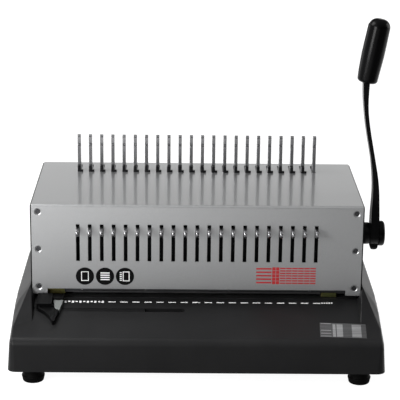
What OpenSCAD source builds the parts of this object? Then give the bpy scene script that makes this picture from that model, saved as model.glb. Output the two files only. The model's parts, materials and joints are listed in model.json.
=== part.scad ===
// Comb binding machine: punch and ring opener on a moulded base, worked by one side handle.
// Drawn with X along the machine (zero at the middle hole), Y from the front face to the back, Z up from
// the table. place() then moves everything so that the origin is below the middle of the whole machine.

/* [Holes and comb] */
// Distance from hole to hole along the comb
hole_pitch = 14.2875; // [14:0.0125:14.5]
// Number of holes
hole_count = 21; // [15:1:21]
// Length of a hole along the comb
hole_w = 8; // [6:0.5:9]
// Width of a hole across the comb
hole_d = 3; // [2.5:0.5:4]

/* [Cover] */
// Width of the sheet cover
cover_w = 396.6; // [360:0.2:440]
// Depth of the sheet cover
cover_d = 197; // [190:1:215]
// Height of the front panel above the paper throat
front_h = 105.5; // [100:0.5:115]
// Thickness of the sheet
sheet_t = 1.2; // [1:0.1:1.5]
// Outer radius of the two bends
bend_r = 3; // [2:0.5:5]
// How far the two front legs reach below the throat edge
leg_drop = 6.5; // [3:0.5:8]
// Width of each front leg
leg_w = 18.3; // [16:0.1:22]
// Width of a front slot
slot_w = 4.5; // [4:0.1:6]
// Height of a front slot
slot_h = 46; // [44:0.5:54]
// Distance from the top of the cover to the slots
slot_drop = 24.3; // [23:0.1:26]
// Thickness of the side plates
side_t = 3; // [2:0.5:4]

/* [Base] */
// Width of the moulded base in front, at its foot
base_w = 440; // [400:1:480]
// Width of the base beside the cover, on each side
flank_w = 19.4; // [18:0.1:30]
// How far the base reaches in front of the cover
base_front = 100; // [95:1:120]
// How far the base reaches behind the cover
base_back = 12; // [11:1:20]
// Height of the base at the throat
base_h = 55.4; // [52:0.2:62]
// Slope of the paper table towards the front, in degrees
table_slope = 9.7; // [8:0.1:11]
// Wall of the moulding
base_wall = 3; // [2.5:0.5:4]
// Radius of the corners in plan
corner_r = 10; // [8:1:20]
// Radius of the crease between the paper table and the front wall
crease_r = 10; // [8:0.5:12]
// Height of the shoulders beside the cover, above the throat
shoulder_h = 27.6; // [24:0.2:34]

/* [Feet] */
// Height of the rubber feet
foot_h = 20; // [12:1:24]
// Diameter of the rubber feet
foot_d = 27.2; // [26:0.1:36]
// Distance of the feet from the middle
foot_x = 192; // [170:0.5:195]

/* [Ring opener] */
// Thickness of a finger
finger_t = 4.2; // [3:0.1:4.6]
// Depth of a finger at its foot
finger_d = 11.5; // [9:0.5:13]
// Height of the fingers above the cover
finger_rise = 47.5; // [38:0.5:50]
// Distance of the fingers from the front face
finger_y = 151.5; // [148:0.5:153]
// Height of the fixed hooks above the cover
hook_rise = 8; // [6:0.5:9]

/* [Punch] */
// Height of the slit that takes the paper
paper_gap = 4.8; // [4.6:0.1:5.2]
// Distance from the front face to the middle of the holes
punch_y = 22; // [21:0.5:23]
// Thickness of the die plate
die_t = 12; // [10:0.5:13]
// Diameter of the guide posts
post_d = 10; // [8:0.5:12]

/* [Drive] */
// Distance of the shaft from the front face
shaft_y = 56; // [55:0.5:62]
// Distance of the shaft below the top of the cover
shaft_drop = 50; // [48:0.5:54]
// Diameter of the shaft
shaft_d = 14; // [12:0.5:15]
// Gear module
gear_m = 2; // [1.8:0.05:2.1]
// Teeth on each pinion
gear_n = 14; // [13:1:15]
// Swing of the handle, in degrees
handle_swing = 80; // [60:1:80]

/* [Handle] */
// Diameter of the grip
grip_d = 27; // [24:0.5:30]
// Length of the grip
grip_l = 78; // [70:0.5:90]
// Diameter of the hub collar
collar_d = 27; // [24:0.5:30]
// Diameter of the end knob
knob_d = 31; // [28:0.5:34]

/* [Edge guide and tray] */
// Distance of the guide's stop edge from the inside of the base's shoulder
guide_room = 40.4; // [38:0.1:44]
// Travel of the paper edge guide
guide_travel = 44; // [30:1:46]
// Width of the chip tray
tray_w = 304; // [300:1:320]
// Height of the chip tray
tray_h = 32; // [24:1:34]

/* [Hidden] */

$fn = 48;
hull_fn = 28;
gap = 0.3;
cut = 1;

// Heights above the table
base_z = foot_h;
throat_z = base_z + base_h;
die_top = throat_z + gap;
guide_bottom = die_top + paper_gap;
throat_rise = 12.1;
edge_z = throat_z + throat_rise;
cover_top = edge_z + front_h;
leg_z = edge_z - leg_drop;
roof_z = cover_top - sheet_t;
shaft_z = cover_top - shaft_drop;
plate_z = base_z + gap;
plate_t = 1.5;
floor_z = plate_z + plate_t;

// Widths and depths
side_out = cover_w / 2 + gap + sheet_t;
side_in = side_out - side_t;
pocket_x = side_out + 0.8;
flank_x = pocket_x + flank_w;
cover_back = cover_d;
base_back_y = cover_d + base_back;
span = (hole_count - 1) * hole_pitch;
hole_end = span / 2 + hole_w / 2;
finger_count = hole_count + 1;
function hole_x(i) = (i - (hole_count - 1) / 2) * hole_pitch;
function finger_x(i) = (i - hole_count / 2) * hole_pitch;

// Drive
pitch_r = gear_m * gear_n / 2;
tooth_pitch = PI * gear_m;
stroke = pitch_r * handle_swing * PI / 180;
tooth_rise = 0.75 * gear_m;
tooth_root = 1.25 * gear_m;
backlash = 0.7;
press_angle = 20;
rack_w = 6.5;
rack_body = 5.5;
rack_gap = 1.5;
rail_t = 14.3;
arm_x = side_in - rail_t - rack_w;
ram_rack_x = arm_x - rack_gap - rack_w;
gear_x = ram_rack_x - 1;
gear_w = 2 * rack_w + rack_gap + 2;

// Punch unit
die_y = 2;
guide_y = 8;
stop_room = 3.5;
stop_y = punch_y + hole_d / 2 + stop_room;
stop_t = 7;
bar_back = stop_y + stop_t;
guide_x = side_in - 8;
nose_d = 2;
nose_h = 2.3;
clip_left = [hole_end + 13, side_in - 16.3];
clip_right = [hole_end + 4.5, hole_end + 22.9];
clip_web = 1.5;
hole_clear = 0.15;
ram_y = 12;
ram_back = shaft_y - pitch_r - tooth_root - rack_body;
ram_lift = 5;
ram_z = shaft_z + ram_lift;
ram_h = 22;
post_room = 5.1;
post_x = hole_end + post_d / 2 + post_room;
post_wall = 3;
ram_x = max(ram_rack_x + rack_w, post_x + post_d / 2 + post_wall);
post_fit = 0.05;
punch_bottom = guide_bottom + 1;
lug_t = slot_w - 0.7;
lug_h = 8.5;
lug_drop = 3;
lug_top = cover_top - slot_drop - lug_drop;
lug_out = 16;

// Ring opener
arm_h = 11;
arm_top = shaft_z - pitch_r - tooth_root;
bar_y = finger_y - 2.5;
bar_d = finger_d + 6.5;
bar_top = roof_z - 14;
bar_h = 16;
seat_d = 10;
finger_slot = finger_t + 0.8;
hook_t = 2.5;
hook_y = finger_y - 1 - hook_t;
hook_leg = 4;
hook_foot = 6.9;
hook_foot_h = 2.7;
strip_t = 2.5;
strip_d = 10;

// Handle
swing_x = side_out + gap;
collar_l = 13.4;
lever_x = swing_x + collar_l;
lever_t = 9.8;
knob_x = lever_x + lever_t;
knob_l = 7.6;
knob_wall = 3;
lever_mid = lever_x + lever_t / 2;
lever_tail = 21;
hub_r = 14;
lever_l = 190;
lever_sway = 17;
grip_z = shaft_z + lever_l;
grip_in = 16.2;
grip_x = lever_mid - grip_in;
grip_lean = 10.4;
lever_straight = 45;
lever_bend = shaft_z + lever_straight;
lever_waist = 5;
lever_flare = 7.6;
flare_l = 34;

// Screws of the cover, six in front and six behind, each sunk in a dimple
dimple_d = 9.4;
screw_d = 5.2;
screw_hole = screw_d + 0.2;
screw_sink = 0.4;
screw_side = 7.8;
screw_x = cover_w / 2 - screw_side;
screw_top = 8.9;
screw_mid = 55.7;
screw_low = 2.4;
screw_zs = [cover_top - screw_top, cover_top - screw_mid, edge_z + screw_low];
guide_screw_d = 3.2;
guide_screw_xs = [for (f = [-0.945, -0.42, 0.27, 0.935]) f * hole_end];

// Edge guide on the sloping table
slot_y = 28;
slot_width = 8;
groove_depth = 5;
slider_l = 133.5;
slider_tail = 35.5;
stop_x = pocket_x - guide_room;
guide_left = stop_x + slider_tail;
groove_left = guide_left + 1;
groove_right = -guide_left + slider_l + guide_travel + 0.5;

// Box of the whole machine, for the origin
left_x = -max(base_w / 2, flank_x);
right_x = knob_x + knob_l;
mid_x = (left_x + right_x) / 2;
mid_y = (base_back_y - base_front) / 2;

module place() { translate([-mid_x, -mid_y, 0]) children(); }
// Extrudes a Y and Z outline along X, from x0 on
module along_x(x0, w) { translate([x0, 0, 0]) rotate([90, 0, 90]) linear_extrude(w) children(); }
// Extrudes an X and Z outline along Y, from y0 on
module along_y(y0, d) { translate([0, y0 + d, 0]) rotate([90, 0, 0]) linear_extrude(d) children(); }
// Moves to the sloping table: the local Z is square to it
module on_table() { translate([0, 0, throat_z]) rotate([table_slope, 0, 0]) children(); }
module box(x0, y0, z0, x1, y1, z1) { translate([x0, y0, z0]) cube([x1 - x0, y1 - y0, z1 - z0]); }
module rod_x(x0, y, z, d, l) { translate([x0, y, z]) rotate([0, 90, 0]) cylinder(d = d, h = l); }
module both_sides() { for (s = [0, 1]) mirror([s, 0, 0]) children(); }

// Moulded base

crease_y = 90;
table_side = 11;
front_draw = 2;
boss_d = 9;
boss_in = 24;
boss_step = 40;
function table_z(y) = throat_z + y * tan(table_slope);
function table_point(y) = [0, y + crease_r * sin(table_slope),
    throat_z + y * tan(table_slope) - crease_r * cos(table_slope)];

// Outer form of the base, or its inside when drawn smaller by inset
module base_form(inset) {
    low = base_z - (inset > 0 ? 2 * cut : 0);
    rear = table_point(4);
    hull() for (s = [-1, 1]) {
        for (p = [[base_w / 2, -base_front + corner_r], [flank_x, base_back_y - corner_r]])
            translate([s * (p[0] - corner_r), p[1], low])
                cylinder(r = corner_r - inset, h = cut, $fn = hull_fn);
        for (p = [table_point(-crease_y) + [base_w / 2 - table_side - front_draw, 0, 0],
            rear + [flank_x - table_side, 0, 0],
            [flank_x - table_side, base_back_y - crease_r - 1, rear[2]]])
            translate([s * p[0], p[1], p[2]]) sphere(r = crease_r - inset, $fn = hull_fn);
    }
}
// Shoulder beside the cover: a long flank that runs down to the table in front
module shoulder() {
    top_r = 1;
    flank_r = 7;
    toe_r = 4;
    back = base_back_y - flank_r - 1;
    hull() {
        for (y = [2 * top_r, cover_back + 4])
            translate([pocket_x + top_r / 2, y, throat_z + shoulder_h - top_r])
                sphere(r = top_r, $fn = hull_fn);
        for (y = [-2 * flank_r, back])
            translate([flank_x - 1.3 * flank_r, y, throat_z - 1.1 * flank_r])
                sphere(r = flank_r, $fn = hull_fn);
        for (p = [[flank_x - 2, -5 * flank_r], [flank_x - 1, back]])
            translate([p[0] - flank_r, p[1], throat_z - 2.5 * flank_r]) sphere(r = flank_r, $fn = hull_fn);
        // Toes just below the table
        for (p = [[pocket_x - toe_r, -14 * toe_r], [flank_x - 3 * toe_r, -17 * toe_r]])
            translate([p[0], p[1], table_z(p[1]) - 1.1 * toe_r]) sphere(r = toe_r, $fn = hull_fn);
        box(pocket_x, -2 * flank_r, throat_z - 3 * flank_r, pocket_x + 1, back, throat_z - 2 * flank_r);
    }
}
module base_shell() {
    color("#242526") difference() {
        union() {
            difference() {
                base_form(0);
                base_form(base_wall);
            }
            both_sides() shoulder();
            // Channel below the groove of the edge guide
            on_table() box(-groove_left - base_wall, -slot_y - slot_width / 2 - base_wall,
                -groove_depth - base_wall, groove_right + slot_width / 2 + base_wall,
                -slot_y + slot_width / 2 + base_wall, -cut);
            // Bosses that stand on the base plate, in front and at the back
            for (s = [-1, 1], y = [-base_front + boss_in, -base_front + boss_in + boss_step])
                translate([s * (base_w / 2 - boss_in), y, floor_z])
                    cylinder(d = boss_d, h = table_z(y) - base_wall / 2 - floor_z);
            for (s = [-1, 1])
                translate([s * (pocket_x + boss_d / 2 + 2), cover_back - 6, floor_z])
                    cylinder(d = boss_d, h = throat_z - 12 - floor_z);
        }
        // Pocket for the cover and the punch unit
        box(-pocket_x, die_y - 0.4, 0, pocket_x, cover_back + 0.9, cover_top);
        // Room in front of the cover's legs, between the shoulders
        box(-pocket_x, -2 * gap, throat_z + base_wall / 2, pocket_x, die_y, cover_top);
        // Groove of the edge guide, with a round end
        on_table() {
            box(-groove_left - 0.5, -slot_y - slot_width / 2, -groove_depth, groove_right,
                -slot_y + slot_width / 2, 2 * cut);
            translate([groove_right, -slot_y, -groove_depth])
                cylinder(d = slot_width, h = groove_depth + 2 * cut);
        }
        // Way out of the chip tray
        box(-tray_w / 2 - 0.5, cover_back, floor_z - cut, tray_w / 2 + 0.5, base_back_y + cut,
            floor_z + gap + tray_h + 0.5);
    }
}
module base_plate() {
    inset = base_wall + 3;
    front_x = base_w / 2 - inset;
    front_y = -base_front + inset;
    back_x = flank_x - inset;
    back_y = base_back_y - inset;
    color("#8d9093") difference() {
        translate([0, 0, plate_z]) linear_extrude(plate_t) polygon([[-front_x, front_y], [front_x, front_y],
            [back_x, back_y], [-back_x, back_y]]);
        for (p = [-1, 1]) translate([p * base_w / 3, -base_front / 2, plate_z - cut])
            cylinder(d = 6, h = plate_t + 2 * cut);
    }
}
foot_front = 26;
foot_back = 20;
foot_ys = [-base_front + foot_front, cover_back - foot_back];
// Rubber foot: a disc with a round sole and a soft rim, on a neck
module feet() {
    rim = foot_d / 2;
    sole = rim - 1.2;
    neck = rim - 1.6;
    soft = 1.5;
    color("#111111") for (s = [-1, 1], y = foot_ys) translate([s * foot_x, y, 0]) rotate_extrude() {
        polygon([[0, 0], [sole - soft, 0], [sole - soft, soft], [sole, soft], [rim, foot_h * 0.33],
            [rim - soft / 3, foot_h * 0.4], [neck, foot_h * 0.46], [neck, plate_z], [0, plate_z]]);
        translate([sole - soft, soft]) circle(r = soft);
    }
}

// Frame and cover

// Its upper corners are cut off inside the bends of the cover
module side_outline() {
    y0 = sheet_t;
    y1 = cover_back - sheet_t;
    c = bend_r - sheet_t;
    polygon([[y0, floor_z], [y1, floor_z], [y1, roof_z - c], [y1 - c, roof_z], [y0 + c, roof_z],
        [y0, roof_z - c]]);
}
// Side plate with its front and back flanges turned inwards
module side_plate() {
    flange = 14;
    difference() {
        union() {
            along_x(side_in, side_t) side_outline();
            for (y = [sheet_t, cover_back - sheet_t - side_t])
                box(side_in - flange, y, leg_z, side_in + cut, y + side_t, roof_z - 2);
        }
        rod_x(side_in - cut, shaft_y, shaft_z, shaft_d + 10, side_t + 2 * cut);
        // Foot of the side plate stands clear of the table's front and of the tray
        box(side_in - flange - cut, -cut, 0, side_out + cut, die_y - 0.4, throat_z + 2);
    }
}
module side_plate_left() { color("#1d1e20") mirror([1, 0, 0]) side_plate(); }
module side_plate_right() { color("#1d1e20") side_plate(); }

// Front, top and back of the cover as one bent outline, drawn smaller by inset
module cover_outline(inset) {
    r = bend_r - inset;
    d = cover_d - 2 * inset;
    h = cover_top - inset;
    translate([inset, 0]) {
        square([d, h - r]);
        translate([r, 0]) square([d - 2 * r, h]);
        for (y = [r, d - r]) translate([y, h - r]) circle(r = r);
    }
}
module cover() {
    slot_top = cover_top - slot_drop;
    reach = finger_d + stroke + 1.4;
    color("#b4b6b8") difference() {
        along_x(-cover_w / 2, cover_w) difference() {
            cover_outline(0);
            cover_outline(sheet_t);
            square([2 * cover_d, leg_z]);
        }
        box(-cover_w / 2 + leg_w, -cut, 0, cover_w / 2 - leg_w, 2 * sheet_t, edge_z);
        for (i = [0 : hole_count - 1]) {
            box(hole_x(i) - slot_w / 2, -cut, slot_top - slot_h,
                hole_x(i) + slot_w / 2, 2 * sheet_t, slot_top);
            box(finger_x(i) - hook_leg / 2, hook_y, roof_z - cut,
                finger_x(i) - hook_leg / 2 + hook_foot, hook_y + hook_t, cover_top + cut);
        }
        for (i = [0 : finger_count - 1])
            box(finger_x(i) - finger_slot / 2, finger_y - 0.5, roof_z - cut,
                finger_x(i) + finger_slot / 2, finger_y + reach, cover_top + cut);
        at_screws() dimple();
    }
}
// Puts its child at each screw, with Y into the machine from the face of the sheet
module at_screws() {
    for (s = [-1, 1], z = screw_zs) {
        translate([s * screw_x, 0, z]) children();
        translate([s * screw_x, cover_back, z]) rotate(180) children();
    }
}
// Cone through the sheet, a little longer on both sides
module dimple() {
    more = 0.1;
    slope = (dimple_d - screw_hole) / sheet_t;
    translate([0, -more, 0]) rotate([-90, 0, 0])
        cylinder(d1 = dimple_d + slope * more, d2 = screw_hole - slope * more, h = sheet_t + 2 * more);
}
// Flat head with a cross in it; its front is at zero
module screw_head(d, h) {
    cross = 0.16 * d;
    difference() {
        rotate([-90, 0, 0]) cylinder(d = d, h = h);
        for (a = [0, 90]) rotate([0, a, 0]) box(-0.32 * d, -cut, -cross / 2, 0.32 * d, h / 2, cross / 2);
    }
}
module cover_screws() {
    color("#7d7f81") at_screws() translate([0, screw_sink, 0]) screw_head(screw_d, sheet_t - screw_sink);
}

// Ring opener: fixed hooks, and the fingers that draw back from them

module hook_strip() {
    end = span / 2 + hole_pitch;
    color("#9a9c9e") difference() {
        box(-end, hook_y + hook_t - strip_d, roof_z - strip_t, end, hook_y + hook_t, roof_z);
        for (i = [0 : hole_count - 1])
            box(finger_x(i) - hook_leg / 2, hook_y, roof_z - strip_t - cut,
                finger_x(i) - hook_leg / 2 + hook_foot, hook_y + hook_t + cut, roof_z + cut);
    }
}
module hook_outline() {
    square([hook_leg, strip_t + sheet_t + hook_rise]);
    square([hook_foot, strip_t + sheet_t + hook_foot_h]);
}
module hooks() {
    color("#3a3b3d") for (i = [0 : hole_count - 1])
        translate([finger_x(i) - hook_leg / 2, 0, roof_z - strip_t]) along_y(hook_y, hook_t) hook_outline();
}
// Blade of a finger: it narrows upwards, has a notch in front and a round nose
module finger_outline() {
    foot = bar_top - seat_d;
    tip = cover_top + finger_rise;
    nose = finger_d * 0.3;
    notch = cover_top + finger_rise * 0.74;
    difference() {
        union() {
            polygon([[finger_y, foot], [finger_y + finger_d, foot], [finger_y + finger_d, cover_top],
                [finger_y + 2 * nose, tip - nose], [finger_y, tip - nose]]);
            translate([finger_y + nose, tip - nose]) circle(r = nose);
        }
        translate([finger_y, notch]) circle(r = nose * 0.45);
    }
}
module fingers() {
    color("#c9cbcd") for (i = [0 : finger_count - 1])
        along_x(finger_x(i) - finger_t / 2, finger_t) finger_outline();
}
module finger_bar() {
    color("#8d9093") difference() {
        box(-arm_x, bar_y, bar_top - bar_h, arm_x, bar_y + bar_d, bar_top);
        for (i = [0 : finger_count - 1])
            box(finger_x(i) - finger_t / 2, finger_y, bar_top - seat_d,
                finger_x(i) + finger_t / 2, finger_y + finger_d, bar_top + cut);
    }
}

// Teeth

function involute(a) = tan(a) * 180 / PI - a;
base_r = pitch_r * cos(press_angle);
function flank(r) = (tooth_pitch / 2 - backlash) / 2 / pitch_r * 180 / PI + involute(press_angle)
    - (r > base_r ? involute(acos(base_r / r)) : 0);
function polar(r, a) = [r * cos(a), r * sin(a)];
module pinion_outline() {
    root_r = pitch_r - tooth_root;
    tip_r = pitch_r + gear_m;
    rs = [root_r - 0.5, base_r, base_r + (tip_r - base_r) / 3, base_r + (tip_r - base_r) * 2 / 3, tip_r];
    difference() {
        union() {
            circle(r = root_r);
            for (k = [0 : gear_n - 1]) rotate(270 + k * 360 / gear_n) polygon(concat(
                [for (r = rs) polar(r, -flank(r))],
                [for (j = [len(rs) - 1 : -1 : 0]) polar(rs[j], flank(rs[j]))]));
        }
        circle(d = shaft_d);
    }
}
module pinion(x0) { translate([0, shaft_y, shaft_z]) along_x(x0, gear_w) pinion_outline(); }
module pinion_left() { color("#77797c") pinion(-gear_x - gear_w); }
module pinion_right() { color("#77797c") pinion(gear_x); }
// Rack teeth along the local X, pointing to +Y from the pitch line at zero
module rack_teeth(first, last) {
    tip = tooth_pitch / 4 - tooth_rise * tan(press_angle);
    foot = tooth_pitch / 4 + tooth_root * tan(press_angle);
    for (k = [first : last]) translate([k * tooth_pitch, 0]) polygon([[-foot, -tooth_root],
        [foot, -tooth_root], [tip, tooth_rise], [-tip, tooth_rise]]);
    translate([(first - 0.5) * tooth_pitch, -tooth_root - rack_body])
        square([(last - first + 1) * tooth_pitch, rack_body]);
}
module ram_rack(x0) {
    // Rotated so that the teeth look backwards and stand one above the other
    along_x(x0, rack_w) translate([shaft_y - pitch_r, shaft_z]) rotate(-90) rack_teeth(-6, 2);
}
module ram_rack_left() { color("#85878a") ram_rack(-ram_rack_x - rack_w); }
module ram_rack_right() { color("#85878a") ram_rack(ram_rack_x); }
module finger_arm(x0) {
    rail_y = shaft_y - 4 * tooth_pitch;
    along_x(x0, rack_w) {
        translate([shaft_y + tooth_pitch / 2, shaft_z - pitch_r]) rack_teeth(-4, 1);
        translate([rail_y, arm_top - arm_h]) square([bar_y + bar_d - rail_y, arm_h]);
        translate([bar_y, arm_top - arm_h]) square([bar_d, bar_top - arm_top + arm_h]);
    }
}
module finger_arm_left() { color("#8d9093") finger_arm(-arm_x - rack_w); }
module finger_arm_right() { color("#8d9093") finger_arm(arm_x); }
// Channel that the arm slides in, on the side plate
module rail_guide() {
    y0 = shaft_y + 40;
    l = 36;
    lip = 5;
    back = arm_x + rack_w + gap;
    bottom = arm_top - arm_h - gap;
    box(back, y0, bottom - lip, side_in, y0 + l, arm_top + gap + lip);
    box(arm_x, y0, bottom - lip, back + cut, y0 + l, bottom);
    box(arm_x, y0, arm_top + gap, back + cut, y0 + l, arm_top + gap + lip);
}
module rail_guide_left() { color("#2b2c2e") mirror([1, 0, 0]) rail_guide(); }
module rail_guide_right() { color("#2b2c2e") rail_guide(); }

// Punch unit

module punch_holes(z0, z1) {
    for (i = [0 : hole_count - 1])
        box(hole_x(i) - hole_w / 2 - hole_clear, punch_y - hole_d / 2 - hole_clear, z0,
            hole_x(i) + hole_w / 2 + hole_clear, punch_y + hole_d / 2 + hole_clear, z1);
}
module die_plate() {
    color("#6f7174") difference() {
        box(-side_in, die_y, die_top - die_t, side_in, bar_back, die_top);
        punch_holes(die_top - die_t - cut, die_top + cut);
    }
}
// Upper plate of the slit, with a low nose along the row of holes
module guide_plate() {
    nose_x = hole_end + 3;
    bevel = 1.5;
    color("#5c5e61") difference() {
        union() {
            along_x(-guide_x, 2 * guide_x) polygon([[guide_y, guide_bottom], [bar_back, guide_bottom],
                [bar_back, edge_z], [guide_y + bevel, edge_z], [guide_y, edge_z - bevel]]);
            box(-nose_x, guide_y - nose_d, guide_bottom, nose_x, guide_y + cut, guide_bottom + nose_h);
        }
        punch_holes(guide_bottom - cut, edge_z + cut);
    }
}
module back_stop() {
    color("#6f7174") box(-guide_x, stop_y, die_top, guide_x, bar_back, guide_bottom);
}
// Plated distance piece at one end of the paper slit: its lip looks out below the cover
module end_bracket(x, lip_low, lip_high) {
    lip_t = 2;
    set_back = 8;
    box(x[0], guide_y + set_back, die_top, x[1], stop_y, guide_bottom);
    box(x[0], guide_y - lip_t, guide_bottom - clip_web, x[1], guide_y + set_back + cut, guide_bottom);
    box(x[0], guide_y - lip_t, lip_low, x[1], guide_y, lip_high);
}
module end_bracket_left() {
    color("#a89a4a") mirror([1, 0, 0])
        end_bracket(clip_left, guide_bottom - clip_web, guide_bottom + paper_gap);
}
module end_bracket_right() {
    color("#a89a4a") end_bracket(clip_right, die_top + paper_gap / 4, guide_bottom + clip_web);
}
module guide_screws() {
    head_h = 0.9;
    z = guide_bottom + nose_h + guide_screw_d / 2 + gap;
    color("#c9cbcd") for (x = guide_screw_xs)
        translate([x, guide_y - head_h, z]) screw_head(guide_screw_d, head_h);
}
module guide_posts() {
    color("#b5b7b9") for (s = [-1, 1]) translate([s * post_x, punch_y, edge_z])
        cylinder(d = post_d, h = roof_z - edge_z - 4);
}
module ram_bar() {
    color("#6f7174") difference() {
        box(-ram_x, ram_y, ram_z, ram_x, ram_back, ram_z + ram_h);
        for (s = [-1, 1]) translate([s * post_x, punch_y, ram_z - cut])
            cylinder(d = post_d + 2 * post_fit, h = ram_h + 2 * cut);
    }
}
module punches() {
    color("#9a9c9e") for (i = [0 : hole_count - 1])
        box(hole_x(i) - hole_w / 2, punch_y - hole_d / 2, punch_bottom,
            hole_x(i) + hole_w / 2, punch_y + hole_d / 2, ram_z);
}
// Outline of a tongue h high that reaches from the ram bar to x = -lug_out, with a round nose
module tongue(h) {
    r = h / 2;
    translate([-lug_out + r, 0]) circle(r = r);
    translate([-lug_out + r, -r]) square([ram_y + lug_out - r, h]);
}
// Lug that looks out of a front slot: its nose is round from the side and from above
module lugs() {
    z = lug_top - lug_h / 2;
    color("#c9cbcd") for (i = [0 : hole_count - 1]) translate([hole_x(i), 0, z]) intersection() {
        along_x(-lug_t / 2, lug_t) tongue(lug_h);
        translate([0, 0, -lug_h / 2]) linear_extrude(lug_h) rotate(90) mirror([0, 1]) tongue(lug_t);
    }
}

// Return springs round the posts

wire_d = 2;
coil_r = post_d / 2 + 2.6;
coil_turns = 9;
coil_steps = 8;
wire_sides = 6;
coil_low = edge_z + wire_d / 2 + 0.05;
coil_high = ram_z - wire_d / 2 - 0.05;
coil_points = [for (k = [0 : coil_turns * coil_steps]) [coil_r * cos(k * 360 / coil_steps),
    coil_r * sin(k * 360 / coil_steps), coil_low + (coil_high - coil_low) * k / coil_turns / coil_steps]];
coil_gap = min([for (i = [0 : len(coil_points) - 1], j = [i + coil_steps / 2 : 1 : len(coil_points) - 1])
    norm(coil_points[i] - coil_points[j])]) - wire_d;
echo(least_gap_of_return_spring = coil_gap);
// One unbroken tube of hexagonal rings set round the coil's axis
module coil() {
    n = len(coil_points);
    rings = [for (k = [0 : n - 1], s = [0 : wire_sides - 1]) let (a = k * 360 / coil_steps,
        b = s * 360 / wire_sides, r = coil_r + wire_d / 2 * cos(b))
        [r * cos(a), r * sin(a), coil_points[k][2] + wire_d / 2 * sin(b)]];
    sides = [for (k = [0 : n - 2], s = [0 : wire_sides - 1])
        let (t = (s + 1) % wire_sides, o = k * wire_sides)
        each [[o + s, o + wire_sides + s, o + t], [o + t, o + wire_sides + s, o + wire_sides + t]]];
    first = [for (s = [1 : wire_sides - 2]) [0, s, s + 1]];
    end = (n - 1) * wire_sides;
    last = [for (s = [1 : wire_sides - 2]) [end, end + s + 1, end + s]];
    polyhedron(rings, concat(sides, first, last));
}
module return_springs() {
    color("#8d9093") for (s = [-1, 1]) translate([s * post_x, punch_y, 0]) coil();
}

// Shaft and handle

shaft_fit = 0.05;
module main_shaft() {
    left = -side_out + 1;
    right = knob_x + knob_l - knob_wall;
    color("#77797c") rod_x(left, shaft_y, shaft_z, shaft_d, right - left);
}
module shaft_bush() {
    difference() {
        union() {
            rod_x(side_in, shaft_y, shaft_z, shaft_d + 10, side_t);
            rod_x(side_in - 2, shaft_y, shaft_z, shaft_d + 16, 2);
        }
        rod_x(side_in - 2 - cut, shaft_y, shaft_z, shaft_d + 2 * shaft_fit, side_t + 2 + 2 * cut);
    }
}
module shaft_bush_left() { color("#a98f4e") mirror([1, 0, 0]) shaft_bush(); }
module shaft_bush_right() { color("#a98f4e") shaft_bush(); }
module collar() {
    bevel = 1.2;
    color("#161617") translate([swing_x, shaft_y, shaft_z]) rotate([0, 90, 0]) rotate_extrude()
        polygon([[shaft_d / 2, 0], [collar_d / 2 - bevel, 0], [collar_d / 2, bevel],
            [collar_d / 2, collar_l], [shaft_d / 2, collar_l]]);
}
module knob() {
    r = 3;
    color("#161617") difference() {
        translate([knob_x, shaft_y, shaft_z]) rotate([0, 90, 0]) rotate_extrude() {
            square([knob_d / 2, knob_l - r]);
            square([knob_d / 2 - r, knob_l]);
            translate([knob_d / 2 - r, knob_l - r]) circle(r = r);
        }
        rod_x(knob_x - cut, shaft_y, shaft_z, shaft_d, knob_l - knob_wall + cut);
    }
}
// Middle of the bent bar: upright beside the hub, then leaning in towards the grip
function ramp(z, z0, l) = min(1, max(0, (z - z0) / l));
bend_l = lever_l - lever_straight - 12;
function bar_x(z) = lever_mid - lever_sway * (1 - cos(180 * ramp(z, lever_bend, bend_l))) / 2;
// Half its thickness: thick at the hub, slim in the bend, flared below the grip and round at the tail
tail_r = 6;
lever_low = shaft_z - lever_tail;
thin_start = 20;
thin_l = 70;
function bar_t(z) = (lever_t - (lever_t - lever_waist) * ramp(z, lever_bend - thin_start, thin_l)
    + (lever_flare - lever_waist) * ramp(z, grip_z - flare_l, flare_l)) / 2
    * sqrt(1 - pow(1 - ramp(z, lever_low, tail_r), 2));
tang_l = 34;
tang_t = 5.6;
tang_w = 12;
module at_grip() { translate([grip_x, shaft_y, grip_z]) rotate([0, grip_lean, 0]) children(); }
module tang() { translate([-tang_t / 2, -tang_w / 2, -1]) cube([tang_t, tang_w, tang_l]); }
module lever_side() {
    top_w = tang_w / 2 + 1;
    mid_w = top_w + 2;
    translate([shaft_y, shaft_z]) circle(r = hub_r);
    translate([shaft_y, lever_low + tail_r]) circle(r = tail_r);
    translate([shaft_y - tail_r, lever_low + tail_r]) square([2 * tail_r, lever_tail]);
    polygon([[shaft_y - hub_r, shaft_z], [shaft_y + hub_r, shaft_z], [shaft_y + mid_w, lever_bend],
        [shaft_y + top_w, grip_z], [shaft_y - top_w, grip_z], [shaft_y - mid_w, lever_bend]]);
}
module lever() {
    steps = 18;
    tail_steps = 5;
    start = lever_bend - thin_start;
    zs = concat([for (k = [1 : tail_steps]) lever_low + tail_r * (1 - cos(90 * k / tail_steps))],
        [for (k = [0 : steps]) start + (grip_z - 0.6 - start) * k / steps]);
    color("#161617") difference() {
        union() {
            intersection() {
                along_y(shaft_y - hub_r, 2 * hub_r) polygon(concat([for (z = zs) [bar_x(z) - bar_t(z), z]],
                    [for (k = [len(zs) - 1 : -1 : 0]) [bar_x(zs[k]) + bar_t(zs[k]), zs[k]]]));
                along_x(lever_mid - lever_l / 2, lever_l) lever_side();
            }
            at_grip() tang();
        }
        rod_x(lever_x - cut, shaft_y, shaft_z, shaft_d, lever_t + 2 * cut);
    }
}
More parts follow.
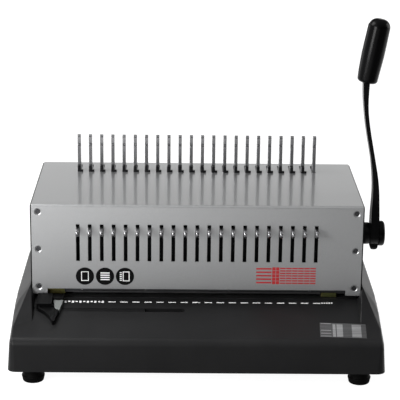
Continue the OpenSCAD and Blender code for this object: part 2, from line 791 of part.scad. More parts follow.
module grip() {
    r = grip_d / 2;
    low = 4;
    dome = 9.5;
    seam = 0.6;
    color("#101011") at_grip() difference() {
        union() {
            rotate_extrude() intersection() {
                square([r, grip_l]);
                union() {
                    translate([r - low - 1, low]) circle(r = low);
                    square([r - low - 1, low]);
                    polygon([[0, low], [r - 1, low], [r, grip_l * 0.45], [r - 0.4, grip_l - dome],
                        [0, grip_l - dome]]);
                    translate([r - 0.4 - dome, grip_l - dome]) circle(r = dome);
                    square([r - 0.4 - dome, grip_l]);
                }
            }
            // Moulding seam down the inner side
            box(-r - seam, -2 * seam, 3 * low, -r / 2, 2 * seam, grip_l - 1.5 * dome);
        }
        tang();
    }
}

// Edge guide: a wing on the table, led by a slider in the groove

wing_t = 5;
wing_side = 2;
wing_drop = 8;
wing_point = [8, 11];
hollow_r = 60;
hollow_at = [68, 9];
rib_x = [12, 8];
rib_y = [34, 60];
rib_w = 2;
block_h = 7.5;
block_l = 31;
block_d = 26;
arm_l = 13;
arm_d = 10.5;
facet_y = -2 - arm_d - gap;
wing_tip = 69;
// Moves to the stop edge, on the sloping table
module at_stop() { on_table() translate([-stop_x, 0, gap]) children(); }
facet_l = 25.5;
facet_tip = [3.2, 9];
facet_short = 17.5;
facet = [[-arm_l + 1, facet_y], [0, facet_y], [-facet_tip[0], facet_y - facet_l],
    [-facet_tip[1], facet_y - facet_short]];
// Sail with a hollow left edge and round corners, drawn smaller by inset
module wing_outline(inset) {
    soft = 1.5;
    side = -block_l + wing_side;
    offset(r = soft, $fn = hull_fn) offset(delta = -soft - inset) difference() {
        polygon([[side, -block_d], [-arm_l, -block_d], [-gap, facet_y], [-wing_point[0], -wing_tip],
            [-wing_point[1], -wing_tip], [side, -block_d - wing_drop]]);
        translate([-hollow_at[0], -wing_tip - hollow_at[1]]) circle(r = hollow_r);
    }
}
module edge_guide() {
    rim = 1.6;
    lip = 2;
    color("#161617") at_stop() difference() {
        union() {
            difference() {
                linear_extrude(wing_t) wing_outline(0);
                translate([0, 0, wing_t - rim]) linear_extrude(wing_t) wing_outline(lip);
            }
            // Rib along the wing
            linear_extrude(wing_t - 0.5) polygon([[-rib_x[0], -rib_y[0]], [-rib_x[0] + rib_w, -rib_y[0]],
                [-rib_x[1], -rib_y[1]], [-rib_x[1] - rib_w, -rib_y[1]]]);
            box(-block_l, -block_d - 2, 0, -arm_l, -2, block_h);
            box(-arm_l - cut, -2 - arm_d, 0, 0, -2, block_h - 1.5);
        }
        translate([0, 0, -cut]) linear_extrude(3 * block_h) offset(delta = gap) polygon(facet);
    }
}
module edge_facet() {
    color("#a9abad") at_stop() linear_extrude(wing_t * 0.85) polygon(facet);
}
module guide_slider() {
    w = slot_width - 2 * gap;
    color("#1d1e20") on_table() {
        box(-guide_left, -slot_y - w / 2, -groove_depth + gap, -guide_left + slider_l, -slot_y + w / 2, -gap);
        box(-guide_left + 10, -slot_y - w / 2, -gap - cut, -guide_left + 26, -slot_y + w / 2, gap);
    }
}

// Chip tray, drawn out at the back

module chip_tray() {
    wall = 2;
    y0 = die_y + 4;
    z0 = floor_z + gap;
    grip_r = 16;
    color("#1d1e20") difference() {
        box(-tray_w / 2, y0, z0, tray_w / 2, base_back_y, z0 + tray_h);
        box(-tray_w / 2 + wall, y0 + wall, z0 + wall, tray_w / 2 - wall, base_back_y - 2 * wall,
            z0 + tray_h + cut);
        // Finger hold in the back wall
        translate([0, base_back_y + cut, z0 + tray_h]) rotate([90, 0, 0])
            cylinder(r = grip_r, h = 2 * wall + 2 * cut);
    }
}

place() base_shell();
place() base_plate();
place() feet();
place() side_plate_left();
place() side_plate_right();
place() cover();
place() cover_screws();
place() hook_strip();
place() hooks();
place() die_plate();
place() guide_plate();
place() back_stop();
place() end_bracket_left();
place() end_bracket_right();
place() guide_screws();
place() guide_posts();
place() return_springs();
place() shaft_bush_left();
place() shaft_bush_right();
place() rail_guide_left();
place() rail_guide_right();
place() main_shaft();
place() pinion_left();
place() pinion_right();
place() collar();
place() lever();
place() grip();
place() knob();
place() ram_bar();
place() punches();
place() lugs();
place() ram_rack_left();
place() ram_rack_right();
place() finger_arm_left();
place() finger_arm_right();
place() finger_bar();
place() fingers();
place() edge_guide();
place() edge_facet();
place() guide_slider();
place() chip_tray();
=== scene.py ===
"""Looks of a comb binding machine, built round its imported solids."""

import functools
import itertools
import json
import logging
import math
from dataclasses import dataclass, field
from enum import Enum
from typing import Any, Iterable, Iterator, Sequence

import bmesh
import bpy
from mathutils import Matrix, Vector


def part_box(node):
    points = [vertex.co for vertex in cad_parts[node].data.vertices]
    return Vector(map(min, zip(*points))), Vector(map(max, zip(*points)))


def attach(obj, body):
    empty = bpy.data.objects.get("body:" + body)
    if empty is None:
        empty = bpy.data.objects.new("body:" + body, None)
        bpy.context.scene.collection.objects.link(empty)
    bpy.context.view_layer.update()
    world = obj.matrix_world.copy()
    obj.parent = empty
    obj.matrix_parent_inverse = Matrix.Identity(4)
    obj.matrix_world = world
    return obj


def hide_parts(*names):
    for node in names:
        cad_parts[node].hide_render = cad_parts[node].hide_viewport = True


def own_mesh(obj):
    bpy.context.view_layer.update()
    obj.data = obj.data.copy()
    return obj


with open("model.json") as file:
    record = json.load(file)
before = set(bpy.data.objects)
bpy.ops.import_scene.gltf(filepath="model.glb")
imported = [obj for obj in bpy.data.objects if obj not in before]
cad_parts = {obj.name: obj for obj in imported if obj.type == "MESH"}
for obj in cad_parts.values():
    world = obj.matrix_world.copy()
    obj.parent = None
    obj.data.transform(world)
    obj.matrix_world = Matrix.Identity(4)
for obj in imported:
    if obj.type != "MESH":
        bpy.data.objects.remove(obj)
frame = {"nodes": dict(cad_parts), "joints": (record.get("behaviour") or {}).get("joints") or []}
LOG = logging.getLogger("binding_machine")
MM = 0.001
WELD = 2e-6  # metres within which a solid's corners are one
SEAM = 1e-6  # metres within which a turned form's seam is closed
FLAT = 0.6  # degrees within which neighbouring faces of a solid are one
WEAR = "edge_wear"  # mesh attribute that marks rounded edges
NOISE_MEAN = 0.5
MIX_FIRST, MIX_SECOND, MIX_OUT = 6, 7, 2  # colour sockets of a Mix node

Colour = tuple[float, float, float]
Pair = tuple[float, float]
Triple = tuple[float, float, float]


class Body(Enum):
    """Moving bodies that a piece can ride on."""

    FRAME = "frame"
    HANDLE = "handle"
    RAM = "ram"
    FINGERS = "finger_carriage"
    GUIDE = "edge_guide_body"


class Grain(Enum):
    """Direction in which a metal was rolled or ground."""

    EVEN = (1.0, 1.0, 1.0)
    ALONG_X = (0.05, 1.0, 1.0)
    ALONG_Z = (1.0, 1.0, 0.05)


# Shader nodes


@dataclass(frozen=True)
class Noise:
    """A noise: cycles per metre, octaves, and the direction in which it is drawn out."""

    scale: float
    detail: float = 3.0
    grain: Grain = Grain.EVEN


class Wire:
    """A value socket that takes part in Python expressions."""

    def __init__(self, bench: "Bench", socket: bpy.types.NodeSocket) -> None:
        """Keeps the socket and the bench that its nodes are made on."""
        self.bench = bench
        self.socket = socket

    def _math(self, operation: str, first: Any, second: Any) -> "Wire":
        """Adds a Math node and returns its output."""
        return self.bench.node("ShaderNodeMath", {"operation": operation}, {0: first, 1: second})

    def __add__(self, other: Any) -> "Wire":
        """Sum of both."""
        return self._math("ADD", self, other)

    __radd__ = __add__

    def __sub__(self, other: Any) -> "Wire":
        """This less the other."""
        return self._math("SUBTRACT", self, other)

    def __rsub__(self, other: Any) -> "Wire":
        """The other less this."""
        return self._math("SUBTRACT", other, self)

    def __mul__(self, other: Any) -> "Wire":
        """Product of both."""
        return self._math("MULTIPLY", self, other)

    __rmul__ = __mul__

    def swing(self, width: float) -> "Wire":
        """This noise as a swing about nought."""
        return (self - NOISE_MEAN) * width

    def over(self, limit: float, soft: float) -> "Wire":
        """A mask that rises from 0 to 1 where this passes a limit.

        Args:
            limit: the value at which the mask begins.
            soft: how far above it the mask is full.

        Returns:
            The mask.
        """
        sockets = {"Value": self, "From Min": limit, "From Max": limit + soft,
                   "To Min": 0.0, "To Max": 1.0}
        return self.bench.node("ShaderNodeMapRange", {"clamp": True}, sockets)


class Bench:
    """Makes the nodes of one material, or of the room's light."""

    def __init__(self, name: str, room: bool = False) -> None:
        """Starts a material with one surface shader, or a room with one background.

        Args:
            name: what it is called.
            room: whether it is the room's light.
        """
        self.material = (bpy.data.worlds if room else bpy.data.materials).new(name)
        self.material.use_nodes = True
        self.tree = self.material.node_tree
        self.surface = self.tree.nodes["Background" if room else "Principled BSDF"]
        self.place = self.node("ShaderNodeTexCoord", {}, {}, "Generated" if room else "Object")

    def node(self, kind: str, settings: dict[str, Any], sockets: dict[Any, Any],
             out: str | int = 0) -> Wire:
        """Adds a node of any kind.

        Args:
            kind: the node's type.
            settings: its properties.
            sockets: values or wires for its inputs, by name or number.
            out: name or number of the output to return.

        Returns:
            That output.
        """
        made = self.tree.nodes.new(kind)
        for key, value in settings.items():
            setattr(made, key, value)
        for key, value in sockets.items():
            self.feed(made.inputs[key], value)
        return Wire(self, made.outputs[out])

    def feed(self, socket: bpy.types.NodeSocket, value: Any) -> None:
        """Links a wire to a socket, or sets the socket's own value.

        Args:
            socket: the input.
            value: a wire, a number, or a colour without its alpha.
        """
        if isinstance(value, Wire):
            self.tree.links.new(value.socket, socket)
        elif isinstance(value, tuple) and socket.type == "RGBA":
            socket.default_value = (*value, 1.0)
        else:
            socket.default_value = value

    def set(self, **values: Any) -> None:
        """Feeds the surface shader, with underscores for the blanks in its sockets' names."""
        for key, value in values.items():
            self.feed(self.surface.inputs[key.replace("_", " ")], value)

    def noise(self, noise: Noise) -> Wire:
        """Noise on the piece's own coordinates.

        Args:
            noise: its scale, octaves and direction.

        Returns:
            The noise's value, about 0.5.
        """
        where = self.place
        if noise.grain is not Grain.EVEN:
            sockets = {"Vector": where, "Scale": noise.grain.value}
            where = self.node("ShaderNodeMapping", {}, sockets)
        sockets = {"Vector": where, "Scale": noise.scale, "Detail": noise.detail}
        return self.node("ShaderNodeTexNoise", {}, sockets)

    def cells(self, scale: float) -> Wire:
        """Distance to the nearest of scattered points, for moulded grain."""
        sockets = {"Vector": self.place, "Scale": scale}
        return self.node("ShaderNodeTexVoronoi", {}, sockets, "Distance")

    def along(self, axis: str) -> Wire:
        """One of the three coordinates."""
        return self.node("ShaderNodeSeparateXYZ", {}, {"Vector": self.place}, axis)

    def worn(self) -> Wire:
        """The mask of rounded edges that a piece's mesh carries."""
        return self.node("ShaderNodeAttribute", {"attribute_name": WEAR}, {}, "Fac")

    def mix(self, mask: Wire, first: Any, second: Any) -> Wire:
        """Blends two colours by a mask."""
        sockets = {"Factor": mask, MIX_FIRST: first, MIX_SECOND: second}
        return self.node("ShaderNodeMix", {"data_type": "RGBA"}, sockets, MIX_OUT)


# Finishes


def shade_of(colour: Colour, factor: float) -> Colour:
    """The colour, lighter or darker by a factor."""
    return tuple(min(1.0, part * factor) for part in colour)


@dataclass(frozen=True)
class Layer:
    """A tone that lies over a finish where a noise is high."""

    noise: Noise
    begin: float
    soft: float
    tone: Colour | float  # a colour, or a factor of the finish's own
    share: float = 1.0
    worn: bool = False  # on rounded edges alone
    swing: float = 0.0  # how far the noise itself moves the roughness
    rough: float = 0.0  # what the layer adds to the roughness


@dataclass(frozen=True)
class Relief:
    """A fine relief: its noise, depth and strength, and the cells that the noise is added to."""

    noise: Noise
    depth_mm: float
    strength: float
    share: float = 1.0
    cells: float = 0.0


@dataclass(frozen=True)
class Finish:
    """What all finishes share: a colour under layers, an uneven gloss and a relief."""

    name: str
    colour: Colour
    roughness: float
    gloss: float = 0.5
    metallic: float = 0.0
    coat: float = 0.0
    coat_roughness: float = 0.03
    ground: float = 1.0  # factor of the colour under all layers
    cloud: Noise | None = None
    cloud_rough: float = 0.0

    def layers(self) -> list[Layer]:
        """What lies over the colour, from below."""
        raise NotImplementedError

    def relief(self) -> Relief:
        """The surface's relief."""
        raise NotImplementedError

    @functools.cache
    def material(self) -> bpy.types.Material:
        """Makes the material, once.

        Returns:
            The material.
        """
        bench = Bench(self.name)
        tone, rough = shade_of(self.colour, self.ground), self.roughness
        for layer in self.layers():
            noise = bench.noise(layer.noise)
            mask = noise.over(layer.begin, layer.soft) * layer.share
            if layer.worn:
                mask = bench.worn() * mask
            own = isinstance(layer.tone, tuple)
            tone = bench.mix(mask, tone, layer.tone if own else shade_of(self.colour, layer.tone))
            if layer.swing:
                rough = rough + noise.swing(layer.swing)
            if layer.rough:
                rough = rough + mask * layer.rough
        if self.cloud:
            rough = rough + bench.noise(self.cloud).swing(self.cloud_rough)
        bench.set(Base_Color=tone, Roughness=rough, Metallic=self.metallic,
                  Specular_IOR_Level=self.gloss, Coat_Weight=self.coat,
                  Coat_Roughness=self.coat_roughness)
        relief = self.relief()
        height = bench.noise(relief.noise) * relief.share
        if relief.cells:
            height = bench.cells(relief.cells) + height
        sockets = {"Height": height, "Distance": relief.depth_mm * MM, "Strength": relief.strength}
        bench.set(Normal=bench.node("ShaderNodeBump", {}, sockets))
        return bench.material


@dataclass(frozen=True)
class SilverPaint(Finish):
    """Satin silver paint with fine flake on sheet steel, under a thin clear coat."""

    metallic: float = 0.75
    coat: float = 1.0
    coat_roughness: float = 0.06
    ground: float = 0.90
    cloud: Noise | None = Noise(9.0, 4.0)
    cloud_rough: float = 0.04
    chipped: Colour = (0.74, 0.74, 0.75)

    def layers(self) -> list[Layer]:
        """Light flake, and bare steel on the edges."""
        return [Layer(Noise(2600.0, 2.0), 0.32, 0.36, 1.10, swing=0.08),
                Layer(Noise(160.0, 4.0), 0.42, 0.2, self.chipped, share=0.7, worn=True)]

    def relief(self) -> Relief:
        """Slight orange peel."""
        return Relief(Noise(700.0, 2.0), 0.02, 0.10)


@dataclass(frozen=True)
class Moulding(Finish):
    """Moulded plastic with a fine spark-eroded grain, lighter on its edges: rubbed wear, and where
    the lightening is strong a painted highlight.
    """

    ground: float = 0.85
    grain: float = 1100.0
    depth_mm: float = 0.05
    # factor for lighter edges: rubbed wear, and at sixty on the wing a painted highlight along its
    # rims
    rubbed_and_rim_highlight: float = 2.6
    coarse: float = 0.6  # scale and strength of the coarser grain beside the fine one

    def layers(self) -> list[Layer]:
        """Cloudy tone, specks of dust, and lighter edges: rubbed wear, with a painted highlight
        where strong.
        """
        return [Layer(Noise(14.0, 5.0), 0.35, 0.35, 1.15, swing=0.12),
                Layer(Noise(420.0, 5.0), 0.66, 0.12, 2.2, share=0.18),
                Layer(Noise(120.0, 4.0), 0.40, 0.25, self.rubbed_and_rim_highlight, share=0.5, worn=True,
                      rough=-0.24)]

    def relief(self) -> Relief:
        """Fine cells with a coarser grain."""
        noise = Noise(self.grain * self.coarse, 2.0)
        return Relief(noise, self.depth_mm, 0.35, share=self.coarse, cells=self.grain)


@dataclass(frozen=True)
class Enamel(Finish):
    """Black stoved enamel, with dust and thin wear on its edges."""

    cloud: Noise | None = Noise(22.0, 5.0)
    cloud_rough: float = 0.16
    thin: Colour = (0.035, 0.035, 0.037)

    def layers(self) -> list[Layer]:
        """Specks of dust, and thin edges."""
        return [Layer(Noise(600.0, 4.0), 0.64, 0.12, 4.0, share=0.25),
                Layer(Noise(140.0, 4.0), 0.5, 0.2, self.thin, share=0.5, worn=True, rough=0.2)]

    def relief(self) -> Relief:
        """Orange peel."""
        return Relief(Noise(330.0, 2.0), 0.06, 0.14)


@dataclass(frozen=True)
class Steel(Finish):
    """Plated or ground steel, with streaks along its grain and rubbed edges."""

    metallic: float = 1.0
    ground: float = 0.80
    cloud: Noise | None = Noise(30.0, 4.0)
    cloud_rough: float = 0.10
    streak: Noise = Noise(900.0, 4.0)
    tint: Colour | None = None

    def layers(self) -> list[Layer]:
        """Streaks, a tint in clouds, stains and rubbed edges."""
        tinted = [] if self.tint is None else [Layer(Noise(55.0, 2.0), 0.42, 0.2, self.tint)]
        return [Layer(self.streak, 0.35, 0.3, 1.12, swing=0.16), *tinted,
                Layer(Noise(240.0, 5.0), 0.62, 0.12, 0.55, share=0.35),
                Layer(Noise(200.0, 3.0), 0.4, 0.2, 1.35, share=0.6, worn=True)]

    def relief(self) -> Relief:
        """The streaks' own relief."""
        return Relief(self.streak, 0.015, 0.2)


@dataclass(frozen=True)
class Rubber(Finish):
    """Moulded rubber with a dusty bloom."""

    def layers(self) -> list[Layer]:
        """The bloom."""
        return [Layer(Noise(90.0, 5.0), 0.45, 0.25, 2.4, share=0.6, swing=0.2)]

    def relief(self) -> Relief:
        """The mould's skin."""
        return Relief(Noise(1500.0, 3.0), 0.05, 0.3)


@dataclass(frozen=True)
class Ink(Finish):
    """Screen-printed ink, a little patchy where the screen left it thin."""

    gloss: float = 0.25
    cloud: Noise | None = Noise(60.0)
    cloud_rough: float = 0.2
    thin: Colour = (0.006, 0.006, 0.006)

    def layers(self) -> list[Layer]:
        """The thin places."""
        return [Layer(Noise(700.0, 4.0), 0.62, 0.15, self.thin, share=0.30)]

    def relief(self) -> Relief:
        """The screen's mesh."""
        return Relief(Noise(1800.0, 2.0), 0.01, 0.15)


@dataclass(frozen=True)
class Finishes:
    """All the machine's finishes."""

    rolled = Noise(900.0, 4.0, Grain.ALONG_X)
    drawn = Noise(900.0, 4.0, Grain.ALONG_Z)
    leaf = Noise(400.0, 4.0, Grain.ALONG_X)

    silver: Finish = SilverPaint("satin silver sheet", (0.46, 0.465, 0.47), 0.33)
    base: Finish = Moulding("base moulding", (0.0115, 0.0115, 0.012), 0.44, 0.18)
    black: Finish = Moulding("black moulding", (0.004, 0.004, 0.0043), 0.38, 0.2, grain=900.0)
    # the wing's edges are lightened sixtyfold: a painted highlight along its raised rims
    wing: Finish = Moulding("guide moulding", (0.0022, 0.0022, 0.0024), 0.40, 0.10, grain=900.0,
                            rubbed_and_rim_highlight=60.0)
    grip: Finish = Moulding("grip moulding", (0.0012, 0.0012, 0.0014), 0.24, 0.10, grain=500.0,
                            depth_mm=0.02)
    grey: Finish = Moulding("grey moulding", (0.17, 0.18, 0.175), 0.42, grain=900.0)
    enamel: Finish = Enamel("black enamel", (0.0025, 0.0025, 0.0028), 0.30, 0.12)
    rubber: Finish = Rubber("foot rubber", (0.002, 0.002, 0.002), 0.62, 0.06)
    plated: Finish = Steel("plated steel", (0.36, 0.36, 0.37), 0.25, streak=drawn)
    screw: Finish = Steel("dull screw steel", (0.10, 0.10, 0.105), 0.32)
    # near black: the hooks' own dark steel, with the shade about the fingers' feet painted into it
    hook: Finish = Steel("dark hook steel with painted shade", (0.035, 0.035, 0.037), 0.34)
    oiled: Finish = Steel("oiled black steel", (0.016, 0.016, 0.017), 0.55, streak=rolled)
    ground: Finish = Steel("ground steel", (0.20, 0.20, 0.205), 0.42, streak=rolled)
    dull: Finish = Steel("dull guide steel", (0.07, 0.07, 0.072), 0.45, streak=rolled)
    zinc: Finish = Steel("yellow zinc", (0.20, 0.175, 0.06), 0.36, streak=Noise(500.0, 4.0),
                         tint=(0.15, 0.16, 0.06))
    bronze: Finish = Steel("bush bronze", (0.48, 0.33, 0.14), 0.42)
    foil: Finish = Steel("grey foil", (0.30, 0.30, 0.305), 0.40, streak=leaf)
    light_foil: Finish = Steel("light foil", (0.86, 0.86, 0.87), 0.40, streak=leaf)
    white_ink: Finish = Ink("white ink", (0.95, 0.95, 0.95), 0.4, thin=(0.72, 0.73, 0.73))
    black_ink: Finish = Ink("black ink", (0.002, 0.002, 0.002), 0.5, 0.12)
    red_ink: Finish = Ink("red ink", (0.48, 0.03, 0.035), 0.4, thin=(0.52, 0.13, 0.13))


# Meshes


@dataclass(frozen=True)
class Rounding:
    """How edges are rounded: width, steps across, and from which angle in degrees."""

    radius_mm: float
    segments: int = 2
    crease: float = 40.0


def finish_mesh(name: str, mesh: bmesh.types.BMesh, material: bpy.types.Material,
                crease: float) -> bpy.types.Object:
    """Turns a bmesh into a shown piece.

    Args:
        name: the piece's name.
        mesh: the shape, in the frame's metres; it is used up.
        material: the finish.
        crease: angle in degrees past which an edge stays sharp.

    Returns:
        The new object, at the origin.
    """
    limit = math.radians(crease)
    for face in mesh.faces:
        face.smooth = True
    for edge in mesh.edges:
        edge.smooth = edge.is_manifold and edge.calc_face_angle(0.0) < limit
    data = bpy.data.meshes.new(name)
    mesh.to_mesh(data)
    mesh.free()
    data.materials.append(material)
    piece = bpy.data.objects.new(name, data)
    bpy.context.scene.collection.objects.link(piece)
    return piece


def weigh_normals(piece: bpy.types.Object) -> None:
    """Lets large flat faces keep their normals beside rounded edges."""
    modifier = piece.modifiers.new("flat faces", "WEIGHTED_NORMAL")
    modifier.keep_sharp = True


def round_edges(mesh: bmesh.types.BMesh, rounding: Rounding) -> None:
    """Rounds the sharp edges and marks them for wear.

    Args:
        mesh: the shape.
        rounding: how its edges are rounded.
    """
    limit = math.radians(rounding.crease)
    sharp = [edge for edge in mesh.edges
             if edge.is_manifold and edge.calc_face_angle(0.0) > limit]
    wear = mesh.verts.layers.float.new(WEAR)
    done = bmesh.ops.bevel(mesh, geom=sharp, offset=rounding.radius_mm * MM, offset_type="OFFSET",
                           affect="EDGES", segments=rounding.segments, profile=0.5, material=-1,
                           clamp_overlap=True)
    fresh = set(done["faces"])
    for vert in done["verts"]:
        vert[wear] = float(fresh.issuperset(vert.link_faces))


def weld_solid(node: str) -> bmesh.types.BMesh:
    """Copies a solid, its loose triangles joined.

    Args:
        node: the solid's name.

    Returns:
        The copy.
    """
    mesh = bmesh.new()
    mesh.from_mesh(frame["nodes"][node].data)
    bmesh.ops.remove_doubles(mesh, verts=mesh.verts, dist=WELD)
    return mesh


def copy_solid(node: str, rounding: Rounding) -> bmesh.types.BMesh:
    """Copies a solid and rounds its edges as the real piece's are.

    Args:
        node: the solid's name.
        rounding: how its edges are rounded.

    Returns:
        The rounded copy.
    """
    mesh = weld_solid(node)
    bmesh.ops.dissolve_limit(mesh, angle_limit=math.radians(FLAT), verts=mesh.verts,
                             edges=mesh.edges)
    round_edges(mesh, rounding)
    return mesh


def spin_profile(mesh: bmesh.types.BMesh, profile: Iterable[Pair], turn: Matrix,
                 steps: int = 48) -> list[bmesh.types.BMVert]:
    """Turns a profile into a closed round form.

    Args:
        mesh: where the form is added.
        profile: radius and height points in millimetres, from axis to axis.
        turn: places the form, whose axis is Z, in the frame.
        steps: faces round the form.

    Returns:
        The new vertices.
    """
    start = set(mesh.verts)
    points = [mesh.verts.new((radius * MM, 0.0, height * MM)) for radius, height in profile]
    edges = [mesh.edges.new(pair) for pair in zip(points, points[1:])]
    bmesh.ops.spin(mesh, geom=points + edges, cent=(0, 0, 0), axis=(0, 0, 1), dvec=(0, 0, 0),
                   angle=math.tau, steps=steps, use_merge=True, use_normal_flip=False,
                   use_duplicate=False)
    made = [vert for vert in mesh.verts if vert not in start]
    bmesh.ops.remove_doubles(mesh, verts=made, dist=SEAM)
    made = [vert for vert in mesh.verts if vert not in start]
    faces = dict.fromkeys(face for vert in made for face in vert.link_faces)
    bmesh.ops.recalc_face_normals(mesh, faces=list(faces))
    bmesh.ops.transform(mesh, matrix=turn, verts=made)
    return made


def add_box(mesh: bmesh.types.BMesh, centre: Vector, size_mm: Sequence[float],
            turn: Matrix | None = None) -> None:
    """Adds a box.

    Args:
        mesh: where the box is added.
        centre: its middle, in metres.
        size_mm: its three sides.
        turn: optional rotation about its middle.
    """
    scale = Matrix.Diagonal((*(side * MM for side in size_mm), 1.0))
    place = Matrix.Translation(centre) @ (turn or Matrix.Identity(4)) @ scale
    bmesh.ops.create_cube(mesh, size=1.0, matrix=place)


def arc(centre: Pair, radius: float, first: float, last: float, steps: int) -> list[Pair]:
    """Points of an arc in a profile, between two angles in degrees and none past the axis."""
    turns = [math.radians(first + (last - first) * k / steps) for k in range(steps + 1)]
    return [(max(0.0, centre[0] + radius * math.cos(turn)), centre[1] + radius * math.sin(turn))
            for turn in turns]


@dataclass
class Datum:
    """Where the drawing's zero lies in the frame: middle hole, cover's front, desk."""

    origin: Vector = field(default_factory=Vector)
    slope: float = 9.7
    throat_mm: float = 75.4

    def __post_init__(self) -> None:
        """Reads the zero from the cover's box."""
        low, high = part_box("cover")
        self.origin = Vector(((low.x + high.x) / 2, low.y, 0.0))

    def at(self, x: float, y: float, z: float) -> Vector:
        """A point of the drawing, in metres in the frame."""
        return self.origin + Vector((x, y, z)) * MM

    def drawn(self, point: Vector) -> Vector:
        """A point of the frame, in the drawing's millimetres."""
        return (point - self.origin) / MM

    def table_z(self, y: float) -> float:
        """Height of the table at a depth, level from the cover's front backwards."""
        return self.throat_mm + min(y, 0.0) * math.tan(math.radians(self.slope))

    def tilt(self) -> Matrix:
        """The turn from level to the sloping table."""
        return Matrix.Rotation(math.radians(self.slope), 4, "X")

    def table(self) -> Matrix:
        """The sloping table's own axes."""
        return Matrix.Translation(self.at(0, 0, self.throat_mm)) @ self.tilt()


# Sub-assemblies


@dataclass
class Assembly:
    """What all sub-assemblies share: the zero, the finishes and how a piece is handed over."""

    datum: Datum
    finishes: Finishes

    def dress(self, finish: Finish, *nodes: str) -> None:
        """Gives solids that stay as they are a finish.

        Args:
            finish: the finish.
            nodes: the solids.
        """
        for node in nodes:
            slots = frame["nodes"][node].data.materials
            slots.clear()
            slots.append(finish.material())
            LOG.info("dressed %s", node)

    def show(self, name: str, mesh: bmesh.types.BMesh, finish: Finish, body: Body, slot: str,
             *nodes: str, crease: float = 32.0) -> bpy.types.Object:
        """Makes a mesh a shown piece and hands it over.

        Args:
            name: the piece's name.
            mesh: its shape, in the frame's metres; it is used up.
            finish: its finish.
            body: what it rides on.
            slot: the record's material slot; not used.
            nodes: solids that it stands for.
            crease: angle in degrees past which an edge stays sharp.

        Returns:
            The piece.
        """
        piece = finish_mesh(name, mesh, finish.material(), crease)
        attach(piece, body.value)
        if nodes:
            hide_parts(*nodes)
        LOG.info("made %s on %s", name, body.value)
        return piece

    def refine(self, node: str, finish: Finish, body: Body, slot: str, rounding: Rounding) -> None:
        """Replaces a solid by its copy with rounded edges."""
        mesh = copy_solid(node, rounding)
        weigh_normals(self.show(f"{node}_fine", mesh, finish, body, slot, node))


@dataclass(frozen=True)
class ShellSizes:
    """How the base's shoulders and flanks are formed, in millimetres and shares."""

    edges: Rounding = Rounding(0.8, 2, 34.0)
    inside: float = 192.0  # where a shoulder begins, from the middle
    above: float = 1.0  # height over the table from which it is lowered
    lowered: float = 0.55
    pocket: float = 203.0  # where a flank begins, from the middle
    flank: float = 219.6  # where it ends once it is filled out
    filled: float = 0.8
    fill_in: float = 12.0  # way over which the filling grows
    straight: float = 28.0  # height from which a flank is filled out


@dataclass(frozen=True)
class EasingSizes:
    """What of the base is eased into a soft form, in millimetres, and how much."""

    wall: float = 200.6  # the cover's pocket, which stays flat
    wall_slack: float = 0.8
    front: float = -84.0
    back: float = 215.0
    over_table: float = 0.4
    flank: float = 209.0
    flank_low: float = 35.0
    longest: float = 7.0  # edge that isn't cut any finer
    cuts: int = 5
    passes: int = 14
    pull: float = 0.5


@dataclass(frozen=True)
class FootSizes:
    """Profile of a rubber foot, in millimetres and degrees."""

    rim: float = 13.6
    sole: float = 12.4
    neck: float = 12.0
    height: float = 20.2
    rim_z: float = 6.6
    neck_z: float = 9.0
    soft: float = 1.5
    rim_turn: float = 75.0
    steps: int = 6
    places: tuple[Pair, ...] = ((-192.0, -74.0), (192.0, -74.0), (-192.0, 177.0), (192.0, 177.0))


@dataclass(frozen=True)
class MarkRow:
    """Row of printed marks in millimetres, whose even and odd marks may differ."""

    first: float
    pitch: float
    count: int
    width: float
    depths: Pair
    shifts: Pair = (0.0, 0.0)

    def marks(self) -> Iterator[tuple[float, float, float, float]]:
        """Gives each mark's place across, its shift backwards, its width and its depth."""
        for k in range(self.count):
            yield self.first + k * self.pitch, self.shifts[k % 2], self.width, self.depths[k % 2]


@dataclass(frozen=True)
class PlateSizes:
    """Foil plate on the table and its light fields, in millimetres and degrees."""

    middle: Triple = (171.4, -72.2, 0.05)
    sides: Triple = (54.0, 32.0, 0.3)
    turn: float = -3.0
    edges: Rounding = Rounding(0.1, 1, 30.0)
    fields: tuple[Pair, ...] = ((-10.4, 3.4), (-3.9, 7.2), (15.8, 11.0))  # place and width
    field_y: float = -0.6
    field_depth: float = 28.6
    lines: tuple[Pair, ...] = ((14.2, 1.4), (-1.0, 1.6), (-8.0, 1.2), (-14.0, 1.2))  # and depth
    line_x: float = -20.0
    line_width: float = 12.0


